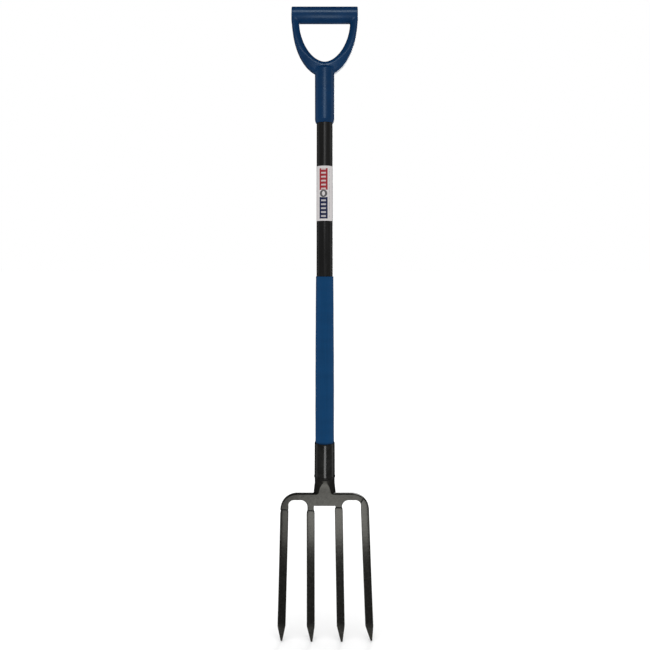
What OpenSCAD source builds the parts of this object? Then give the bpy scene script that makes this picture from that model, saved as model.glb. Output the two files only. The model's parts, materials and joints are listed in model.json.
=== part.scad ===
// Long-handled digging fork: moulded D-grip, steel shaft with a plastic sleeve, welded head.
// X runs across the tines, -Y is the front, which the points curve towards, and +Z is up.
// The origin is on the shaft's axis, level with the points of the inner tines.

/* [Handle] */
// Height of the grip bar's axis above the points of the tines
grip_z = 1162.4; // [1120:0.2:1250]
// Length of the grip bar, which is the width of the loop too
grip_l = 117; // [112:1:130]
// Diameter of the grip bar
grip_d = 28.2; // [26:0.2:32]
// Depth of the loop from front to back
loop_t = 24; // [18:1:28]
// Height of the loop, from the grip bar's axis down to its lowest point
loop_h = 105; // [102:0.5:112]
// Width of the hand opening under the grip bar
hand_w = 90.4; // [80:0.2:96]
// Height of the hand opening, from the grip bar's axis down
hand_h = 80; // [72:0.2:82]
// Diameter of the collar that takes the tube
collar_d = 35; // [34:0.5:40]
// Height of the collar's lower end, from the grip bar's axis down
collar_h = 187.4; // [160:0.2:220]

/* [Shaft] */
// Diameter of the tube at its upper end, inside the collar
tube_top_d = 28.6; // [28:0.1:31]
// Diameter of the tube at its lower end, inside the socket
tube_bottom_d = 31.9; // [31:0.1:33]
// Wall of the tube
tube_wall = 1.6; // [1:0.1:3]

/* [Sleeve] */
// Height of the sleeve's upper edge
sleeve_z = 699; // [600:1:760]
// Diameter of the sleeve at its upper edge
sleeve_top_d = 32.6; // [32.5:0.1:34]
// Diameter of the sleeve where it enters the socket
sleeve_bottom_d = 35.8; // [34.6:0.1:35.9]

/* [Label] */
// Height of the label's lower edge
label_z = 800; // [780:1:860]
// Height of the label itself
label_h = 98; // [60:1:100]
// Part of the tube's turn that the label covers, in degrees
label_arc = 178; // [90:2:300]
// Right-hand end of the label, in degrees round from the front
label_end = 68; // [30:2:90]

/* [Socket] */
// Height of the socket's rim
socket_z = 384.3; // [370:0.1:400]
// Diameter of the socket at its rim
socket_top_d = 38.5; // [38:0.1:40]
// Diameter of the socket at its lower end
socket_bottom_d = 39.2; // [38:0.1:40]
// Bore of the socket
socket_bore = 36; // [36:0.1:36.6]

/* [Crossbar] */
// Height of the treads, which are the crossbar's flat tops
tread_z = 288.5; // [286:0.1:290]
// Width of the crossbar
bar_w = 168.6; // [168:0.2:169.6]
// Thickness of the crossbar and of the tines' upper ends
bar_t = 9; // [8:0.5:10]
// Distance of the crossbar's front face in front of the shaft's axis
bar_front = 17.2; // [16:0.1:18]
// Height of a crossbar arm
arm_h = 12.5; // [11:0.1:13.5]
// Height of the crossbar's middle
middle_h = 22.9; // [21:0.1:24]
// Outer radius of a shoulder
shoulder_r = 32; // [28:1:34]

/* [Tines] */
// Width of a tine
tine_w = 15.2; // [14.6:0.1:15.8]
// Thickness of a tine where its point starts
tine_low_t = 7; // [6:0.1:8]
// Length of a point
point_l = 31; // [24:1:45]
// Distance that the tines curve forwards between the crossbar and their points
reach = 14; // [8:1:24]
// Distance from the axis to the centre of an inner tine, at its weld
inner_x = 26.8; // [26.4:0.1:27.4]
// Sideways lean of each hand-set tine, from its weld to its point
tine_lean = [-6.2, 0, 4, 9]; // [-10:0.1:10]
// Sideways offset of each point from the middle of its tine
point_shift = [-0.2, 1.6, 1.9, 3.9]; // [-5:0.1:5]

/* [Hidden] */
$fn = 96;

blue = [0.10, 0.24, 0.38];
handle_blue = [0.09, 0.20, 0.32];
black = [0.13, 0.13, 0.13];
steel_grey = [0.35, 0.35, 0.34];
weld_grey = [0.24, 0.24, 0.23];
label_white = [0.84, 0.83, 0.82];
eps = 0.01;

// Handle
collar_z = grip_z - collar_h;
collar_chamfer = [1.6, 6];
loop_side_drop = 7.6;
hand_side_drop = 12.6;
hand_curve = 1.83;
loop_segments = 72;
grip_edge = 1.2;

// Shaft
tube_top_z = grip_z - loop_h + 2;
tube_bottom_z = 326;
sleeve_swell = [[620, 0.11], [530, 0.24]];
label_t = 0.3;

// Socket and neck
joint_z = 318;
spigot_z = 325;
spigot_lap = 1;
neck_d = 38.4;
neck_z = 305;
neck_flare = 1.8;
ring_r = 2.8;
ring_proud = 1.0;

// Crossbar
bar_back = bar_t - bar_front;
middle_z = tread_z - middle_h;
arm_z = tread_z - arm_h;
middle_r = 3;
gap_outer_r = 11;
gap_inner_r = 13;
stub_w = 12;
stub_x = 26.8;
leg_z = 220;
tongue_z = 291;
tongue_top_z = 309.5;
tongue_curve = 1.35;
neck_steps = 16;

// Tines
bend_z = 257;
outer_x = bar_w / 2 - tine_w / 2;
tine_x = [-outer_x, -inner_x, inner_x, outer_x];
point_w = 3.4;
point_t = 2.4;
outer_rise = 2;
point_z = [outer_rise, 0, 0, outer_rise];
top_chamfer = [1.7, 4.5];
curve_steps = 14;

// Welds: place of each cut across the head, and its slope in degrees
weld_at = [[-outer_x, 257.5], [-stub_x, 255.7], [stub_x, 261.7], [71.2, 274.7]];
weld_slope = [0, 0, 0, 61];
weld_w = [tine_w, stub_w, stub_w, 12.2];
weld_h = 1.6;
weld_proud = 0.5;
cut_reach = 12.2;
cut_margin = 1;

// Rivets
rivet_r = 2.4;
rivet_head_r = 4.8;
rivet_head_h = 1.9;
rivet_rim_h = 0.8;
rivet_flat_r = 2.2;
rivet_tail_r = 3.2;
rivet_tail_l = 3;
handle_rivet_z = 1003;
socket_rivet_z = 356;

// Radius of the tube's outside at height z
function tube_r(z) = let (t = (tube_top_z - z) / (tube_top_z - tube_bottom_z))
    (tube_top_d + t * (tube_bottom_d - tube_top_d)) / 2;

// Radius of the sleeve's outside at height z on a straight taper
function sleeve_r(z) = let (t = (sleeve_z - z) / (sleeve_z - socket_z))
    (sleeve_top_d + t * (sleeve_bottom_d - sleeve_top_d)) / 2;

// Radius of the socket's outside at height z
function socket_r(z) = let (t = (socket_z - z) / (socket_z - joint_z))
    (socket_top_d + t * (socket_bottom_d - socket_top_d)) / 2;

// Radius of the neck's outside at height z
function neck_r(z) = neck_d / 2 + neck_flare * (neck_z - z) / (neck_z - tread_z);

// Flattened front of the neck at height z
function neck_front(z) = let (t = max(0, z - tongue_z) / (tongue_top_z - tongue_z))
    -bar_front - (neck_d / 2 - bar_front) * pow(t, tongue_curve);

// Swept back of the neck at height z
function neck_back(z) = let (t = min(1, (z - middle_z) / (neck_z - middle_z)))
    bar_back + (neck_d / 2 + neck_flare - bar_back) * t * t * (3 - 2 * t);

// Front face of the curving tines at height z
function tine_front(z) = -bar_front - reach * pow((bend_z - z) / bend_z, 2);

// Thickness of a tine at height z
function tine_t(z) = bar_t - (bar_t - tine_low_t) * (bend_z - z) / (bend_z - point_l);

// A round solid between two heights, with a radius at each
module taper(z1, r1, z2, r2) {
    translate([0, 0, z1]) cylinder(h = z2 - z1, r1 = r1, r2 = r2);
}

// An outline in X and Z, given a thickness backwards from front
module from_front(front, thickness) {
    translate([0, front + thickness, 0]) rotate([90, 0, 0])
        linear_extrude(thickness) children();
}

// An outline in Y and Z, given a width to the right from left
module from_side(left, width) {
    translate([left, 0, 0]) rotate([90, 0, 90])
        linear_extrude(width) children();
}

// An ellipse's lower half with straight sides up to its top line, more pointed for a curve under 2
module u_outline(half_w, drop, depth, curve = 2) {
    power = 2 / curve;
    low = [for (i = [0 : loop_segments]) let (a = 180 * i / loop_segments) [
        -half_w * sign(cos(a)) * pow(abs(cos(a)), power),
        -drop - (depth - drop) * pow(sin(a), power)
    ]];
    polygon(concat(low, [[half_w, 0], [-half_w, 0]]));
}

// The outside of the tube between two heights
module tube_body(z1, z2) {
    taper(z1, tube_r(z1), z2, tube_r(z2));
}

// Grip bar with softened ends, along X
module grip_bar() {
    core_l = grip_l - 2 * grip_edge;
    translate([-core_l / 2, 0, grip_z]) rotate([0, 90, 0]) {
        cylinder(h = core_l, d = grip_d);
        translate([0, 0, core_l]) cylinder(h = grip_edge, d1 = grip_d, d2 = grip_d - 2 * grip_edge);
        translate([0, 0, -grip_edge]) cylinder(h = grip_edge, d1 = grip_d - 2 * grip_edge, d2 = grip_d);
    }
}

// D-shaped loop, open in the middle for the hand
module loop() {
    translate([0, 0, grip_z]) from_front(-loop_t / 2, loop_t) difference() {
        u_outline(grip_l / 2, loop_side_drop, loop_h);
        u_outline(hand_w / 2, hand_side_drop, hand_h, hand_curve);
    }
}

// Collar with a chamfered mouth and a domed top inside the loop
module collar() {
    dome_z = grip_z - hand_h - collar_d / 2;
    mouth_z = collar_z + collar_chamfer[1];
    taper(collar_z, collar_d / 2 - collar_chamfer[0], mouth_z, collar_d / 2);
    taper(mouth_z, collar_d / 2, dome_z, collar_d / 2);
    translate([0, 0, dome_z]) sphere(d = collar_d);
}

// A blind rivet at height z in the back of a wall whose outside is at radius r
module rivet(z, r, depth) {
    translate([0, r, z]) rotate([-90, 0, 0]) {
        translate([0, 0, -depth]) cylinder(h = depth, r = rivet_r);
        cylinder(h = rivet_rim_h, r = rivet_head_r);
        translate([0, 0, rivet_rim_h])
            cylinder(h = rivet_head_h - rivet_rim_h, r1 = rivet_head_r, r2 = rivet_flat_r);
        translate([0, 0, -depth - rivet_tail_l]) cylinder(h = rivet_tail_l, r = rivet_tail_r);
    }
}

// The hole for a blind rivet, through the back wall only
module rivet_hole(z) {
    translate([0, 0, z]) rotate([-90, 0, 0]) cylinder(h = socket_top_d, r = rivet_r);
}

// The ring of weld metal between the socket and the neck
module ring_bead() {
    rotate_extrude() translate([socket_r(joint_z) + ring_proud - ring_r, joint_z]) circle(ring_r);
}

// The gap between an inner and an outer tine, on the right-hand side
module side_gap() {
    left = stub_x + stub_w / 2;
    right = outer_x - tine_w / 2;
    translate([left, leg_z - eps]) square([right - left, arm_z - gap_inner_r - leg_z + eps]);
    translate([left + gap_inner_r, leg_z]) square([right - left - gap_inner_r - gap_outer_r, arm_z - leg_z]);
    translate([left + gap_inner_r, arm_z - gap_inner_r]) circle(gap_inner_r);
    translate([right - gap_outer_r, arm_z - gap_outer_r]) circle(gap_outer_r);
    translate([right - gap_outer_r, leg_z]) square([gap_outer_r, arm_z - gap_outer_r - leg_z]);
}

// The gap between the two inner tines
module middle_gap() {
    half = stub_x - stub_w / 2;
    translate([-half, leg_z - eps]) square([2 * half, middle_z - middle_r - leg_z + eps]);
    translate([-half + middle_r, leg_z]) square([2 * (half - middle_r), middle_z - leg_z]);
    for (s = [-1, 1]) translate([s * (half - middle_r), middle_z - middle_r]) circle(middle_r);
}

// The crossbar with its shoulders and all four legs, before the welds cut it
module head_outline() {
    shoulder_x = bar_w / 2 - shoulder_r;
    difference() {
        union() {
            translate([-bar_w / 2, leg_z]) square([bar_w, tread_z - shoulder_r - leg_z]);
            translate([-shoulder_x, leg_z]) square([2 * shoulder_x, tread_z - leg_z]);
            for (s = [-1, 1]) translate([s * shoulder_x, tread_z - shoulder_r]) circle(shoulder_r);
        }
        middle_gap();
        side_gap();
        mirror([1, 0]) side_gap();
    }
}

// Everything beyond weld i, seen from the front, starting lift beyond the middle of the weld
module beyond_weld(i, lift) {
    side = weld_slope[i] == 0 ? cut_reach : bar_w / 2;
    translate(weld_at[i]) rotate(weld_slope[i]) mirror([0, 1])
        translate([-side, lift]) square([2 * side, tread_z - leg_z]);
}

// The bead across weld i, seen from the front
module weld_outline(i) {
    half = weld_w[i] / 2;
    translate(weld_at[i]) rotate(weld_slope[i]) polygon([
        [-half, -weld_h / 2], [half, -weld_h / 2], [half + weld_proud, 0],
        [half, weld_h / 2], [-half, weld_h / 2], [-half - weld_proud, 0]
    ]);
}

// A tine from the side: it curves forwards, thins, and ends in a wedge
module tine_profile() {
    heights = [for (i = [0 : curve_steps]) point_l + (bend_z - point_l) * i / curve_steps];
    front = [for (z = heights) [tine_front(z), z]];
    back = [for (i = [0 : curve_steps]) let (z = heights[curve_steps - i]) [tine_front(z) + tine_t(z), z]];
    point_y = tine_front(0) + tine_low_t / 2;
    polygon(concat(
        [[point_y - point_t / 2, 0]], front,
        [[-bar_front, tread_z], [bar_back, tread_z]], back,
        [[point_y + point_t / 2, 0]]
    ));
}

// A tine's bar from the front, from below its weld to its point
module tine_outline(i, top_z) {
    half = tine_w / 2;
    top = tine_x[i];
    low = top + tine_lean[i];
    point = low + point_shift[i];
    polygon([
        [point - point_w / 2, point_z[i]], [point + point_w / 2, point_z[i]],
        [low + half, point_l], [top + half, top_z - top_chamfer[1]],
        [top + half - top_chamfer[0], top_z], [top - half + top_chamfer[0], top_z],
        [top - half, top_z - top_chamfer[1]], [low - half, point_l]
    ]);
}

// Tine i, where the outer right one carries the whole shoulder up to its sloping weld
module tine(i) {
    color(steel_grey) intersection() {
        from_front(-bar_front - reach - cut_margin, bar_t + reach + 2 * cut_margin) {
            if (weld_slope[i] == 0) {
                tine_outline(i, weld_at[i][1] - weld_h / 2);
            } else {
                tine_outline(i, bend_z);
                intersection() {
                    head_outline();
                    beyond_weld(i, weld_h / 2);
                    translate([outer_x - tine_w, bend_z - top_chamfer[1]])
                        square([2 * tine_w, tread_z - bend_z + top_chamfer[1]]);
                }
            }
        }
        from_side(-bar_w, 2 * bar_w) tine_profile();
    }
}

// Weld i between a stub and its tine
module weld(i) {
    color(weld_grey) from_front(-bar_front - weld_proud, bar_t + 2 * weld_proud) weld_outline(i);
}

module d_handle() {
    color(handle_blue) difference() {
        union() {
            grip_bar();
            loop();
            collar();
        }
        tube_body(collar_z - eps, tube_top_z);
        rivet_hole(handle_rivet_z);
    }
}

module handle_rivet() {
    wall = collar_d / 2 - tube_r(handle_rivet_z) + tube_wall;
    color(black) rivet(handle_rivet_z, collar_d / 2, wall);
}

module shaft_tube() {
    color(black) difference() {
        tube_body(tube_bottom_z, tube_top_z);
        taper(tube_bottom_z - eps, tube_r(tube_bottom_z) - tube_wall,
            tube_top_z + eps, tube_r(tube_top_z) - tube_wall);
        rivet_hole(handle_rivet_z);
        rivet_hole(socket_rivet_z);
    }
}

module shaft_label() {
    z2 = label_z + label_h;
    color(label_white) rotate([0, 0, label_end - 90 - label_arc]) rotate_extrude(angle = label_arc)
        polygon([
            [tube_r(label_z), label_z], [tube_r(label_z) + label_t, label_z],
            [tube_r(z2) + label_t, z2], [tube_r(z2), z2]
        ]);
}

module shaft_sleeve() {
    swell = [for (s = sleeve_swell) [sleeve_r(s[0]) + s[1], s[0]]];
    color(blue) difference() {
        rotate_extrude() polygon(concat(
            [[0, sleeve_z], [sleeve_top_d / 2, sleeve_z]],
            swell,
            [[sleeve_bottom_d / 2, socket_z], [sleeve_bottom_d / 2, tube_bottom_z], [0, tube_bottom_z]]
        ));
        tube_body(tube_bottom_z - eps, sleeve_z + eps);
        rivet_hole(socket_rivet_z);
    }
}

module head_socket() {
    color(black) difference() {
        taper(joint_z, socket_r(joint_z), socket_z, socket_r(socket_z));
        taper(joint_z - eps, socket_bore / 2, socket_z + eps, socket_bore / 2);
        rivet_hole(socket_rivet_z);
        ring_bead();
    }
}

module socket_rivet() {
    wall = socket_r(socket_rivet_z) - tube_r(socket_rivet_z) + tube_wall;
    color(black) rivet(socket_rivet_z, socket_r(socket_rivet_z), wall);
}

module socket_weld() {
    color(weld_grey) ring_bead();
}

// The neck from the side: flush with the crossbar in front, and swept down to it at the back
module neck_profile() {
    rows = [for (i = [0 : neck_steps]) middle_z + (joint_z - middle_z) * i / neck_steps];
    polygon(concat(
        [for (z = rows) [neck_front(z), z]],
        [for (i = [0 : neck_steps]) let (z = rows[neck_steps - i]) [neck_back(z), z]]
    ));
}

module neck() {
    intersection() {
        union() {
            taper(neck_z, neck_d / 2, joint_z, neck_d / 2);
            taper(middle_z, neck_r(middle_z), neck_z, neck_r(neck_z));
        }
        from_side(-bar_w, 2 * bar_w) neck_profile();
    }
    taper(joint_z - spigot_lap, socket_bore / 2, spigot_z, socket_bore / 2);
}

module head_yoke() {
    color(steel_grey) difference() {
        union() {
            from_front(-bar_front, bar_t) difference() {
                head_outline();
                for (i = [0 : 3]) beyond_weld(i, -weld_h / 2);
            }
            neck();
        }
        ring_bead();
    }
}

module tine_outer_left() { tine(0); }
module tine_inner_left() { tine(1); }
module tine_inner_right() { tine(2); }
module tine_outer_right() { tine(3); }
module weld_outer_left() { weld(0); }
module weld_inner_left() { weld(1); }
module weld_inner_right() { weld(2); }
module weld_outer_right() { weld(3); }

d_handle();
handle_rivet();
shaft_tube();
shaft_label();
shaft_sleeve();
head_socket();
socket_rivet();
socket_weld();
head_yoke();
tine_outer_left();
tine_inner_left();
tine_inner_right();
tine_outer_right();
weld_outer_left();
weld_inner_left();
weld_inner_right();
weld_outer_right();
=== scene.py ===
import json
import math

import bpy
import numpy as np
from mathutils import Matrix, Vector, noise


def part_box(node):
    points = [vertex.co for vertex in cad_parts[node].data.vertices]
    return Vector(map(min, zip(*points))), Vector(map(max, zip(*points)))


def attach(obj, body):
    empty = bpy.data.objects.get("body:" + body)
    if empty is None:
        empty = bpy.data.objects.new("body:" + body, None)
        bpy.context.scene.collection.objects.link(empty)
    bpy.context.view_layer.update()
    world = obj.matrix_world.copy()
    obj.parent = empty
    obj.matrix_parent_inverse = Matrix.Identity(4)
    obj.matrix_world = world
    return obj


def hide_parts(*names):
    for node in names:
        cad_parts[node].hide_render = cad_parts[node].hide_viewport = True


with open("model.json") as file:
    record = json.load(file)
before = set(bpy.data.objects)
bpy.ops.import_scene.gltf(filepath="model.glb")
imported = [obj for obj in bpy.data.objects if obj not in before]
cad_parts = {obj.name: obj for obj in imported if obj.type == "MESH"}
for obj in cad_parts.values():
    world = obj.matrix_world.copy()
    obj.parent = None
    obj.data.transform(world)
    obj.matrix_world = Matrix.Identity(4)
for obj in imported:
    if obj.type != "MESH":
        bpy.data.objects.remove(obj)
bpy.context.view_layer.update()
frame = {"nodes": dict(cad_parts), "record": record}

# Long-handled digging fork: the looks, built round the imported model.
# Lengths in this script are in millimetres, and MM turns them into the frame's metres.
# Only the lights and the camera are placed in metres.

MM = 0.001
BODY = "root"
# Edges that turn by more degrees than this stay sharp
SHARP = 38
# Cells of the two meshed fields, and the room left round them
HANDLE_STEP = 1.0
HEAD_STEP = 0.8
MARGIN = 1.0
SIDE_MARGIN = 1.2


# ---------------------------------------------------------------- reading the frame


def box_mm(node):
    """Lowest and highest corner of a CAD node, in millimetres."""
    low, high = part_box(node)
    return low / MM, high / MM


def mount_mm(name):
    """Place of a named mount, in millimetres."""
    for mount in frame["record"]["mounts"]:
        if mount["name"] == name:
            return Vector(mount["pos_m"]) / MM


def middle_x(node, z, reach):
    """Middle of a CAD node across X, from its corners within reach of height z."""
    points = [v.co / MM for v in frame["nodes"][node].data.vertices]
    across = [p.x for p in points if abs(p.z - z) < reach]
    return (min(across) + max(across)) / 2


HANDLE_LOW, HANDLE_HIGH = box_mm("d_handle")
TUBE_LOW, TUBE_HIGH = box_mm("shaft_tube")
LABEL_LOW, LABEL_HIGH = box_mm("shaft_label")
SLEEVE_LOW, SLEEVE_HIGH = box_mm("shaft_sleeve")
SOCKET_LOW, SOCKET_HIGH = box_mm("head_socket")
RING_LOW, RING_HIGH = box_mm("socket_weld")
YOKE_LOW, YOKE_HIGH = box_mm("head_yoke")

# Handle. The loop's crest is its foremost line, and CREST_TOP is how far that lies from the
# hand opening's edge beside the bar. It narrows lower down, and the loop leans back beyond it.
GRIP_Z = mount_mm("hand_grip").z
GRIP_R = HANDLE_HIGH.z - GRIP_Z
GRIP_HALF = HANDLE_HIGH.x
GRIP_EDGE = 1.4
LOOP_HALF_DEPTH = 12.0
LOOP_HEIGHT = 105.0
LOOP_SIDE_DROP = 7.6
HAND_HALF = 45.2
HAND_HEIGHT = 80.0
HAND_CURVE = 1.83
HAND_SIDE_DROP = 12.6
CREST_TOP = 12.2
CREST_NARROWING = 3.2
NARROWING_START = 58
NARROWING_H = 22
LEAN = 0.23
LEAN_START = 1.0
LOOP_EDGE = 4.5
LOOP_FILLET = 2.0
COLLAR_R = 17.5
COLLAR_Z = HANDLE_LOW.z
COLLAR_START = 15.6
COLLAR_RISE = 8.0
COLLAR_EDGE = 0.6
MOUTH_TAPER = 1.6
MOUTH_H = 6

# Shaft and socket
TUBE_TOP_R = 14.3
TUBE_BOTTOM_R = TUBE_HIGH.x
SLEEVE_TOP_R = 16.3
SLEEVE_BOTTOM_R = SLEEVE_HIGH.x
# The sleeve's bulge between its ends: heights and radii
SLEEVE_KNOTS = ((530, 17.42), (620, 16.85))
SOCKET_TOP_R = 19.25
SOCKET_BOTTOM_R = 19.6
SOCKET_BORE_R = 18.0
RIM_ROUND = 0.5
RING_RUN_OUT = 1.2
RING_SINK = 0.35
# The label's turn and its right-hand end in degrees, and its two faces' distances from the tube
LABEL_ARC = 178
LABEL_END = 68
LABEL_INSIDE = 0.02
LABEL_OUTSIDE = 0.24
# Points round the tube and the sleeve
AROUND = 96
RING_Z = (RING_LOW.z + RING_HIGH.z) / 2

# Crossbar and neck
TREAD_Z = mount_mm("tread_left").z
BAR_FRONT = 17.2
BAR_T = 9.0
BAR_HALF = 84.3
BAR_MIDDLE = 22.9
ARM_H = 12.5
SHOULDER_R = 32.0
GAP_OUTER_R = 11.0
GAP_INNER_R = 13.0
MIDDLE_R = 3.0
STUB_X = 26.8
STUB_W = 12.0
NECK_R = 19.2
NECK_Z = 305.0
# The neck widens by NECK_FLARE below NECK_Z, and its front is flat up to TONGUE_TOP
NECK_FLARE = 1.8
NECK_FILLET = 3.0
BACK_SOFTNESS = 0.75
PLATE_EDGE = 1.5
TONGUE_Z = 291.0
TONGUE_TOP = 309.5
TONGUE_CURVE = 3.5
TONGUE_EDGE = 0.3

# Tines
TINE_W = 15.2
TINE_LOW_T = 7.0
POINT_L = 31.0
BEND_Z = 257.0
REACH = 14.0
OUTER_X = BAR_HALF - TINE_W / 2
TINE_EDGE = 1.0
CORNER_LIMIT = 0.45
# The chamfer at a tine's top: distances below the top, and how much narrower it is there
TINE_TOP = ((0, 2.2), (0.5, 1.7), (2.0, 1.1), (4.5, 0.2))
TINE_TOP_H = 8
TINE_TOP_RISE = 0.2
FRONT_THINNING = 0.04
BACK_THINNING = 0.3
BLADE_STEPS = 60
POINT_STEPS = 24
# The shoulder starts at its weld, this many degrees round its outer and its inner corner
SHOULDER_TURN = 47.0
GAP_TURN = 23.0
SHOULDER_STEPS = 20
SHOULDER_LAP = 6
POINT_HALF_W = 1.7
POINT_HALF_T = 1.2
POINT_CURVE = 1.04
POINT_EDGE_LOSS = 0.4

# Welds: each one's slope in degrees, and half the width of the cut that it makes in the forging
WELD_H = 1.6
WELD_SINK = 0.4
BEAD_CORNER = 1.8
SHOULDER_SLOPE = 61
WELD_CUTS = (
    ("outer_left", 0, TINE_W),
    ("inner_left", 0, TINE_W * 0.8),
    ("inner_right", 0, TINE_W * 0.8),
    ("outer_right", SHOULDER_SLOPE, BAR_HALF),
)
TINE_NAMES = tuple(name for name, slope, reach in WELD_CUTS)


def tube_r(z):
    """Outside radius of the tube at height z."""
    t = (TUBE_HIGH.z - z) / (TUBE_HIGH.z - TUBE_LOW.z)
    return TUBE_TOP_R + t * (TUBE_BOTTOM_R - TUBE_TOP_R)


# ---------------------------------------------------------------- mesh tools


def add_piece(name, verts, faces, node, material):
    """Makes a mesh object from millimetre points and puts it on the frame in a node's place."""
    mesh = bpy.data.meshes.new(name)
    mesh.from_pydata([tuple(c * MM for c in v) for v in verts], [], [tuple(f) for f in faces])
    mesh.validate()
    mesh.update()
    piece = bpy.data.objects.new(name, mesh)
    bpy.context.scene.collection.objects.link(piece)
    mesh.materials.append(material)
    for face in mesh.polygons:
        face.use_smooth = True
    mesh.set_sharp_from_angle(angle=math.radians(SHARP))
    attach(piece, BODY)
    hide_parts(node)
    return piece


def skin(rings):
    """Faces between rings of equal length, with the two ends closed by fans."""
    count = len(rings[0])
    last = (len(rings) - 1) * count
    verts = [p for ring in rings for p in ring]
    faces = []
    for r in range(len(rings) - 1):
        for i in range(count):
            j = (i + 1) % count
            a = r * count
            faces.append((a + i, a + j, a + count + j, a + count + i))
    for start, ring, flip in ((0, rings[0], True), (last, rings[-1], False)):
        verts.append(sum((Vector(p) for p in ring), Vector()) / count)
        middle = len(verts) - 1
        for i in range(count):
            a, b = start + i, start + (i + 1) % count
            faces.append((b, a, middle) if flip else (a, b, middle))
    return verts, faces


def lathe(profile, segments, wobble=None):
    """A solid of revolution about Z from (radius, height) points, listed bottom to top."""
    rings = []
    for r, z in profile:
        ring = []
        for i in range(segments):
            a = 2 * math.pi * i / segments
            extra = wobble(a, z) if wobble else 0
            ring.append(Vector(((r + extra) * math.cos(a), (r + extra) * math.sin(a), z)))
        rings.append(ring)
    return skin(rings)


def arc(centre, radius, start, end, steps):
    """Points on a circle in a plane, from one angle in degrees to another."""
    angles = [math.radians(start + (end - start) * i / steps) for i in range(steps + 1)]
    return [(centre[0] + radius * math.cos(a), centre[1] + radius * math.sin(a)) for a in angles]


def surface_net(field, low, high, step):
    """Vertices and quads of the surface where field(x, y, z) is zero, in a box of cubic cells."""
    counts = [int(math.ceil((high[k] - low[k]) / step)) + 1 for k in range(3)]
    axes = [low[k] + step * np.arange(counts[k]) for k in range(3)]
    d = field(*np.meshgrid(*axes, indexing="ij"))
    cells = [c - 1 for c in counts]
    total, place = np.zeros(cells), np.zeros(cells + [3])
    corners = [(i, j, k) for i in (0, 1) for j in (0, 1) for k in (0, 1)]
    for a in corners:
        for axis in range(3):
            if a[axis]:
                continue
            b = tuple(c + (n == axis) for n, c in enumerate(a))
            da = d[tuple(slice(a[n], a[n] + cells[n]) for n in range(3))]
            db = d[tuple(slice(b[n], b[n] + cells[n]) for n in range(3))]
            cross = (da < 0) != (db < 0)
            t = np.where(cross, da / np.where(cross, da - db, 1), 0)
            total += cross
            for n in range(3):
                place[..., n] += cross * a[n] + (t if n == axis else 0)
    used = total > 0
    number = -np.ones(cells, int)
    number[used] = np.arange(used.sum())
    where = np.argwhere(used)
    verts = np.array(low) + step * (where + place[used] / total[used][:, None])
    quads = []
    for axis in range(3):
        u, v = (axis + 1) % 3, (axis + 2) % 3
        here = np.argwhere(np.diff((d < 0).astype(np.int8), axis=axis) != 0)
        keep = (here[:, u] > 0) & (here[:, v] > 0) & (here[:, u] < cells[u]) & (here[:, v] < cells[v])
        here = here[keep]
        leaving = d[tuple(here.T)] < 0
        ring = []
        for du, dv in ((1, 1), (0, 1), (0, 0), (1, 0)):
            cell = here.copy()
            cell[:, u] -= du
            cell[:, v] -= dv
            ring.append(number[tuple(cell.T)])
        ring = np.stack(ring, 1)
        ring[~leaving] = ring[~leaving][:, ::-1]
        quads.append(ring)
    return settle(field, verts, step), np.concatenate(quads)


def slope_at(field, verts, h):
    """Gradient of a field at many points."""
    x, y, z = verts.T
    return np.stack([
        field(x + h, y, z) - field(x - h, y, z),
        field(x, y + h, z) - field(x, y - h, z),
        field(x, y, z + h) - field(x, y, z - h),
    ], 1) / (2 * h)


def true_normals(piece, field):
    """Shades a meshed field by the field's own slope."""
    verts = np.array([v.co for v in piece.data.vertices]) / MM
    normals = slope_at(field, verts, 0.2)
    normals /= np.maximum(np.linalg.norm(normals, axis=1), 1e-9)[:, None]
    piece.data.normals_split_custom_set_from_vertices(normals.tolist())


def settle(field, verts, step):
    """Moves points onto the surface where field is zero, by three short steps down its slope."""
    for _ in range(3):
        d = field(*verts.T)
        slope = slope_at(field, verts, step * 0.25)
        move = slope * (d / np.maximum((slope ** 2).sum(1), 0.05))[:, None]
        verts = verts - np.clip(move, -step * 0.4, step * 0.4)
    return verts


# ---------------------------------------------------------------- distance fields


def rounded_box_2d(u, v, low_u, high_u, top, round_low, round_high):
    """Distance to an upright strip from low_u to high_u, open below, with two rounded top corners."""
    mid = (low_u + high_u) / 2
    half = (high_u - low_u) / 2
    r = np.where(u < mid, round_low, round_high)
    du = np.abs(u - mid) - half + r
    dv = v - top + r
    outside = np.hypot(np.maximum(du, 0), np.maximum(dv, 0))
    return outside + np.minimum(np.maximum(du, dv), 0) - r


def ellipse_2d(u, v, half_u, half_v, power=2.0):
    """Approximate distance to an ellipse about the origin, more pointed for a power under 2."""
    a, b = np.abs(u / half_u) + 1e-6, np.abs(v / half_v) + 1e-6
    level = (a ** power + b ** power) ** (1 / power)
    slope = level ** (1 - power) * np.hypot(a ** (power - 1) / half_u, b ** (power - 1) / half_v)
    return (level - 1) / slope


def thick(d2, across, half, r):
    """Distance to a flat outline d2 given a half thickness, with its edges rounded by r."""
    a = d2 + r
    b = np.abs(across) - half + r
    outside = np.hypot(np.maximum(a, 0), np.maximum(b, 0))
    return outside + np.minimum(np.maximum(a, b), 0) - r


def blend_union(a, b, k):
    """Union of two fields with a fillet of about k."""
    h = np.maximum(k - np.abs(a - b), 0) / k
    return np.minimum(a, b) - h * h * k / 4


def blend_cut(a, b, k):
    """Intersection of two fields with an edge softened by about k."""
    return -blend_union(-a, -b, k)


# ---------------------------------------------------------------- materials


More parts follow.
